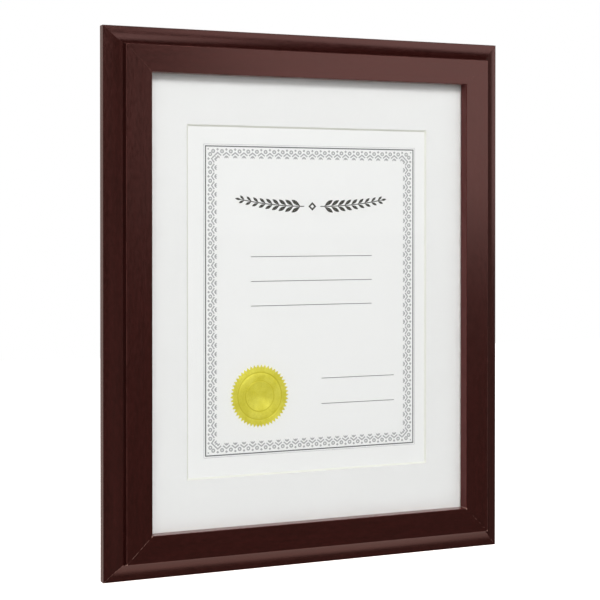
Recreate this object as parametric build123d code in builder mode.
from build123d import *
from math import cos, radians, sin
import os

os.makedirs("parts", exist_ok=True)

# A wall-hung certificate frame, in millimetres. +Z is up and the front faces -Y.
# The back of the rails is the plane Y = 0, and the origin is the point of that plane level with
# the middle notch of the top hanger, where the wall hook bears.

# Sheets: glass, mat, filler and backing are all cut to one standard size
SHEET_WIDTH = 279.4
SHEET_HEIGHT = 355.6
GLASS_THICKNESS = 2.0
MAT_THICKNESS = 1.4
PAPER_THICKNESS = 0.2
FILLER_THICKNESS = 3.0
BACKING_THICKNESS = 3.2
STACK_PLAY = 0.2  # depth left between the backing board and the back of the rails
RABBET_PLAY = 1.0  # gap all round between the sheets and the rabbet wall

# Certificate and the window in front of it
CERTIFICATE_WIDTH = 215.9
CERTIFICATE_HEIGHT = 279.4
MAT_OVERLAP = 6.35  # how far the mat covers each edge of the certificate

# Foil seal, placed from the middle of the certificate
SEAL_X = -42.8
SEAL_Z = -73.6
SEAL_RADIUS = 24.4
SEAL_TOOTH_DEPTH = 3.4
SEAL_TEETH = 50
SEAL_THICKNESS = 0.2
SEAL_RELIEF = 0.15
SEAL_FIELD_RADIUS = 18.4

# Moulding section, measured in from the outer edge and forward from the back
MOULDING_WIDTH = 34.4
LIP_WIDTH = 6.7
LIP_THICKNESS = 9.0
OUTER_SIDE_DEPTH = 7.5
OUTER_ROUND = 0.6
COVE_WIDTH = 13.2
COVE_SAGITTA = 0.8
RISER_HEIGHT = 5.6
RISER_WIDTH = 1.0
PANEL_ROUND = 0.5

# V-shaped wedges driven into the back of each mitre
WEDGE_LEG = 5.0
WEDGE_THICKNESS = 0.6
WEDGE_HEIGHT = 7.0
WEDGE_FIT = 0.05
WEDGE_MARGIN = 4.0  # from the outer edge and from the rabbet wall

# Turn buttons and their screws
BUTTON_REACH = 18.0  # from the pivot to the tip
BUTTON_PIVOT_END = 5.0
BUTTON_TIP_END = 3.5
BUTTON_THICKNESS = 1.2
BUTTON_GAP = 0.1  # running gap under the button and under the screw head
BUTTON_SETBACK = 8.5  # from the rabbet wall to the pivot
BUTTON_OFFSET_SHORT = 75.0  # from the middle of the top and bottom rails
BUTTON_OFFSET_LONG = 100.0  # from the middle of the side rails
PIVOT_FIT = 0.06
SCREW_RADIUS = 1.4
SCREW_LENGTH = 12.0
SCREW_POINT = 2.5
SCREW_FIT = 0.05
SCREW_HEAD_RADIUS = 2.7
SCREW_HEAD_HEIGHT = 1.7

# Sawtooth hangers and their nails
HANGER_LENGTH = 46.0
HANGER_WIDTH = 9.5
HANGER_THICKNESS = 0.9
HANGER_RISE = 2.2  # clear gap behind the bridge, for the hook's head
HANGER_TAB = 8.0
HANGER_RAMP = 2.5
HANGER_CORNER = 2.0
HANGER_INSET = 7.0  # from the rail's outer edge
NOTCH_PITCH = 2.5
NOTCH_WIDTH = 2.1
NOTCH_DEPTH = 1.8
NOTCH_COUNT = 11
NAIL_RADIUS = 0.7
NAIL_LENGTH = 9.0
NAIL_POINT = 1.5
NAIL_FIT = 0.05
NAIL_HEAD_RADIUS = 1.7
NAIL_HEAD_HEIGHT = 0.7
PILOT_EXTRA = 0.3  # empty depth under the point of each screw and nail

# Depths forward from the back of the rails
BACKING_BACK = STACK_PLAY
FILLER_BACK = BACKING_BACK + BACKING_THICKNESS
PAPER_BACK = FILLER_BACK + FILLER_THICKNESS
MAT_BACK = PAPER_BACK + PAPER_THICKNESS
GLASS_BACK = MAT_BACK + MAT_THICKNESS
RABBET_DEPTH = GLASS_BACK + GLASS_THICKNESS
FRONT_DEPTH = RABBET_DEPTH + LIP_THICKNESS

# Outline of the frame, worked out from the sheets
BACK_WIDTH = MOULDING_WIDTH - LIP_WIDTH
HALF_WIDTH = SHEET_WIDTH / 2 + RABBET_PLAY + BACK_WIDTH
HALF_HEIGHT = SHEET_HEIGHT / 2 + RABBET_PLAY + BACK_WIDTH
NOTCH_INSET = HANGER_INSET + HANGER_WIDTH - NOTCH_DEPTH
CENTRE_Z = NOTCH_INSET - HALF_HEIGHT
PIVOT_INSET = BACK_WIDTH - BUTTON_SETBACK
NAIL_OFFSET = (HANGER_LENGTH - HANGER_TAB) / 2
NAIL_INSET = HANGER_INSET + HANGER_WIDTH / 2

# The back of the frame about its middle: x to the right as seen from the front, y up, z forward
BACK = Plane((0, 0, CENTRE_Z), x_dir=(1, 0, 0), z_dir=(0, -1, 0))


def edge_plane(turn, half_span):
    """Back of one rail: x along it, y inward from the middle of its outer edge, z forward."""
    along = Vector(cos(radians(turn)), 0, sin(radians(turn)))
    inward = Vector(-sin(radians(turn)), 0, cos(radians(turn)))
    return Plane(BACK.origin - inward * half_span, x_dir=along, z_dir=BACK.z_dir)


# Each rail's back plane, half its outer length, and the distance of its buttons from its middle
RAILS = {
    "bottom": (edge_plane(0, HALF_HEIGHT), HALF_WIDTH, BUTTON_OFFSET_SHORT),
    "right": (edge_plane(90, HALF_WIDTH), HALF_HEIGHT, BUTTON_OFFSET_LONG),
    "top": (edge_plane(180, HALF_HEIGHT), HALF_WIDTH, BUTTON_OFFSET_SHORT),
    "left": (edge_plane(270, HALF_WIDTH), HALF_HEIGHT, BUTTON_OFFSET_LONG),
}
# The end of each rail that local +x points to, and the other end, as seen from the front
RAIL_ENDS = {
    "bottom": ("right", "left"),
    "right": ("upper", "lower"),
    "top": ("left", "right"),
    "left": ("lower", "upper"),
}
HANGER_RAILS = {"top_hanger": "top", "side_hanger": "left"}


def save(builder, name):
    builder.part.label = name
    export_step(builder.part, f"parts/{name}.step")


def wedge_sketch(width):
    """Chevrons across the four mitres, two to a corner, each pointing at the middle of the frame."""
    apexes = (WEDGE_MARGIN + WEDGE_LEG, BACK_WIDTH - WEDGE_MARGIN)
    with BuildSketch(BACK) as chevrons:
        for side_x in (-1, 1):
            for side_y in (-1, 1):
                for apex in apexes:
                    apex_x = side_x * (HALF_WIDTH - apex)
                    apex_y = side_y * (HALF_HEIGHT - apex)
                    with BuildLine():
                        Polyline(
                            (apex_x + side_x * WEDGE_LEG, apex_y),
                            (apex_x, apex_y),
                            (apex_x, apex_y + side_y * WEDGE_LEG),
                        )
                    trace(line_width=width)
    return chevrons.sketch


WEDGE_SLOTS = wedge_sketch(WEDGE_THICKNESS + 2 * WEDGE_FIT)


def make_rail(rail_name):
    """One mitred length of moulding, with its wedge slots and its pilot holes."""
    edge, half_length, button_offset = RAILS[rail_name]
    with BuildPart() as rail:
        with BuildSketch(Plane(edge.origin, x_dir=edge.y_dir, z_dir=edge.x_dir)) as section:
            with BuildLine():
                outer_side = Line((0, 0), (0, OUTER_SIDE_DEPTH))
                cove = SagittaArc(outer_side @ 1, (COVE_WIDTH, FRONT_DEPTH - RISER_HEIGHT), -COVE_SAGITTA)
                Polyline(
                    cove @ 1,
                    (COVE_WIDTH + RISER_WIDTH, FRONT_DEPTH),
                    (MOULDING_WIDTH, FRONT_DEPTH),
                    (MOULDING_WIDTH, RABBET_DEPTH),
                    (BACK_WIDTH, RABBET_DEPTH),
                    (BACK_WIDTH, 0),
                    outer_side @ 0,
                )
            make_face()
            fillet(section.vertices().group_by(Axis.Y)[-1], radius=PANEL_ROUND)
            fillet(section.vertices().group_by(Axis.X)[0].sort_by(Axis.Y)[-1], radius=OUTER_ROUND)
        extrude(amount=half_length, both=True)
        for end in (-1, 1):
            corner = edge.from_local_coords((end * half_length, 0, 0))
            split(bisect_by=Plane(corner, z_dir=edge.x_dir * end + edge.y_dir), keep=Keep.BOTTOM)
        extrude(WEDGE_SLOTS, amount=WEDGE_HEIGHT + WEDGE_FIT, mode=Mode.SUBTRACT)
        with BuildSketch(edge):
            with Locations((-button_offset, PIVOT_INSET), (button_offset, PIVOT_INSET)):
                Circle(SCREW_RADIUS + SCREW_FIT)
        extrude(amount=SCREW_LENGTH + PILOT_EXTRA, mode=Mode.SUBTRACT)
        if rail_name in HANGER_RAILS.values():
            with BuildSketch(edge):
                with Locations((-NAIL_OFFSET, NAIL_INSET), (NAIL_OFFSET, NAIL_INSET)):
                    Circle(NAIL_RADIUS + NAIL_FIT)
            extrude(amount=NAIL_LENGTH + PILOT_EXTRA, mode=Mode.SUBTRACT)
    save(rail, f"{rail_name}_rail")


def make_wedges():
    with BuildPart() as wedges:
        extrude(wedge_sketch(WEDGE_THICKNESS), amount=WEDGE_HEIGHT)
    save(wedges, "corner_wedges")


def make_glass():
    with BuildPart() as glass:
        with BuildSketch(BACK.offset(GLASS_BACK)):
            Rectangle(SHEET_WIDTH, SHEET_HEIGHT)
        extrude(amount=GLASS_THICKNESS)
    save(glass, "glass_pane")


def make_mat():
    """Mat with a window whose edges are cut at 45 degrees, wider at the front."""
    window_width = CERTIFICATE_WIDTH - 2 * MAT_OVERLAP
    window_height = CERTIFICATE_HEIGHT - 2 * MAT_OVERLAP
    with BuildPart() as mat:
        with BuildSketch(BACK.offset(MAT_BACK)):
            Rectangle(SHEET_WIDTH, SHEET_HEIGHT)
        extrude(amount=MAT_THICKNESS)
        with BuildSketch(BACK.offset(MAT_BACK)):
            Rectangle(window_width, window_height)
        with BuildSketch(BACK.offset(GLASS_BACK)):
            Rectangle(window_width + 2 * MAT_THICKNESS, window_height + 2 * MAT_THICKNESS)
        loft(mode=Mode.SUBTRACT)
    save(mat, "mat_board")


def make_certificate():
    with BuildPart() as certificate:
        with BuildSketch(BACK.offset(PAPER_BACK)):
            Rectangle(CERTIFICATE_WIDTH, CERTIFICATE_HEIGHT)
        extrude(amount=PAPER_THICKNESS)
    save(certificate, "certificate_sheet")


def make_seal():
    """Foil disc with a pinked edge and a raised round field."""
    tip_turn = 360 / SEAL_TEETH
    rim = []
    for tooth in range(SEAL_TEETH):
        for radius, share in ((SEAL_RADIUS, 0), (SEAL_RADIUS - SEAL_TOOTH_DEPTH, 1 / 2)):
            angle = radians((tooth + share) * tip_turn)
            rim.append((SEAL_X + radius * cos(angle), SEAL_Z + radius * sin(angle)))
    with BuildPart() as seal:
        with BuildSketch(BACK.offset(MAT_BACK)):
            with BuildLine():
                Polyline(*rim, close=True)
            make_face()
        extrude(amount=SEAL_THICKNESS)
        with BuildSketch(BACK.offset(MAT_BACK + SEAL_THICKNESS)):
            with Locations((SEAL_X, SEAL_Z)):
                Circle(SEAL_FIELD_RADIUS)
        extrude(amount=SEAL_RELIEF)
    save(seal, "gold_seal")


def make_filler():
    with BuildPart() as filler:
        with BuildSketch(BACK.offset(FILLER_BACK)):
            Rectangle(SHEET_WIDTH, SHEET_HEIGHT)
        extrude(amount=FILLER_THICKNESS)
    save(filler, "filler_board")


def make_backing():
    with BuildPart() as backing:
        with BuildSketch(BACK.offset(BACKING_BACK)):
            Rectangle(SHEET_WIDTH, SHEET_HEIGHT)
        extrude(amount=BACKING_THICKNESS)
    save(backing, "backing_board")


def make_turn_button(name, edge, along):
    """Tapered steel tongue that turns on its screw, closed with its tip over the backing board."""
    with BuildPart() as button:
        with BuildSketch(edge.offset(-BUTTON_GAP)):
            with Locations((along, PIVOT_INSET)):
                Circle(BUTTON_PIVOT_END)
            with Locations((along, PIVOT_INSET + BUTTON_REACH - BUTTON_TIP_END)):
                Circle(BUTTON_TIP_END)
            make_hull()
            with Locations((along, PIVOT_INSET)):
                Circle(SCREW_RADIUS + PIVOT_FIT, mode=Mode.SUBTRACT)
        extrude(amount=-BUTTON_THICKNESS)
    save(button, name)


def button_spots():
    """Each turn button's name, its rail's back plane and its place along that rail."""
    for rail_name, (edge, _, offset) in RAILS.items():
        for end_name, along in zip(RAIL_ENDS[rail_name], (offset, -offset)):
            yield f"{rail_name}_{end_name}_turn_button", edge, along


def make_pins(name, spots, length, point, radius, head_seat, head_radius, head_height):
    """Screws or nails driven into the rails, each a shank with a point and a round head."""
    head_top = head_seat + head_height
    with BuildPart() as pins:
        for edge, along, inset in spots:
            middle = edge.from_local_coords((along, inset, 0))
            half_section = Plane(middle, x_dir=edge.x_dir, z_dir=edge.y_dir)
            with BuildSketch(half_section):
                with BuildLine():
                    Polyline(
                        (0, head_top),
                        (0, -length),
                        (radius, point - length),
                        (radius, head_seat),
                        (head_radius, head_seat),
                        (head_radius, head_top),
                        close=True,
                    )
                make_face()
            revolve(axis=Axis(half_section.origin, half_section.y_dir))
    save(pins, name)


def make_screws():
    make_pins(
        "turn_button_screws",
        [(edge, along, PIVOT_INSET) for _, edge, along in button_spots()],
        SCREW_LENGTH,
        SCREW_POINT,
        SCREW_RADIUS,
        2 * BUTTON_GAP + BUTTON_THICKNESS,
        SCREW_HEAD_RADIUS,
        SCREW_HEAD_HEIGHT,
    )


def make_nails():
    hanger_edges = [RAILS[rail_name][0] for rail_name in HANGER_RAILS.values()]
    make_pins(
        "hanger_nails",
        [(edge, along, NAIL_INSET) for edge in hanger_edges for along in (-NAIL_OFFSET, NAIL_OFFSET)],
        NAIL_LENGTH,
        NAIL_POINT,
        NAIL_RADIUS,
        HANGER_THICKNESS,
        NAIL_HEAD_RADIUS,
        NAIL_HEAD_HEIGHT,
    )


def make_hanger(name):
    """Steel strip cranked away from the rail, with a row of notches along its inner edge."""
    edge = RAILS[HANGER_RAILS[name]][0]
    near_edge = edge.from_local_coords((0, HANGER_INSET, 0))
    toothed_edge = edge.from_local_coords((0, HANGER_INSET + HANGER_WIDTH, 0))
    tab_level = HANGER_THICKNESS / 2
    bridge_level = HANGER_RISE + HANGER_THICKNESS / 2
    half = HANGER_LENGTH / 2
    with BuildPart() as hanger:
        with BuildSketch(Plane(near_edge, x_dir=edge.x_dir, z_dir=edge.y_dir)):
            with BuildLine():
                Polyline(
                    (-half, tab_level),
                    (HANGER_TAB - half, tab_level),
                    (HANGER_TAB + HANGER_RAMP - half, bridge_level),
                    (half - HANGER_TAB - HANGER_RAMP, bridge_level),
                    (half - HANGER_TAB, tab_level),
                    (half, tab_level),
                )
            trace(line_width=HANGER_THICKNESS)
        extrude(amount=HANGER_WIDTH)
        corners = hanger.edges().filter_by(Axis.Y).sort_by(Axis(edge.origin, edge.x_dir))
        fillet(corners[:2] + corners[-2:], radius=HANGER_CORNER)
        with BuildSketch(Plane(toothed_edge, x_dir=edge.x_dir, z_dir=edge.z_dir)):
            with GridLocations(NOTCH_PITCH, 0, NOTCH_COUNT, 1):
                Polygon((-NOTCH_WIDTH / 2, 0), (0, -NOTCH_DEPTH), (NOTCH_WIDTH / 2, 0), align=None)
        extrude(amount=-HANGER_RISE - HANGER_THICKNESS, mode=Mode.SUBTRACT)
        with BuildSketch(edge):
            with Locations((-NAIL_OFFSET, NAIL_INSET), (NAIL_OFFSET, NAIL_INSET)):
                Circle(NAIL_RADIUS + NAIL_FIT)
        extrude(amount=-HANGER_THICKNESS, mode=Mode.SUBTRACT)
    save(hanger, name)


for rail_name in RAILS:
    make_rail(rail_name)
make_wedges()
make_glass()
make_mat()
make_certificate()
make_seal()
make_filler()
make_backing()
for button_name, button_edge, button_along in button_spots():
    make_turn_button(button_name, button_edge, button_along)
make_screws()
for hanger_name in HANGER_RAILS:
    make_hanger(hanger_name)
make_nails()
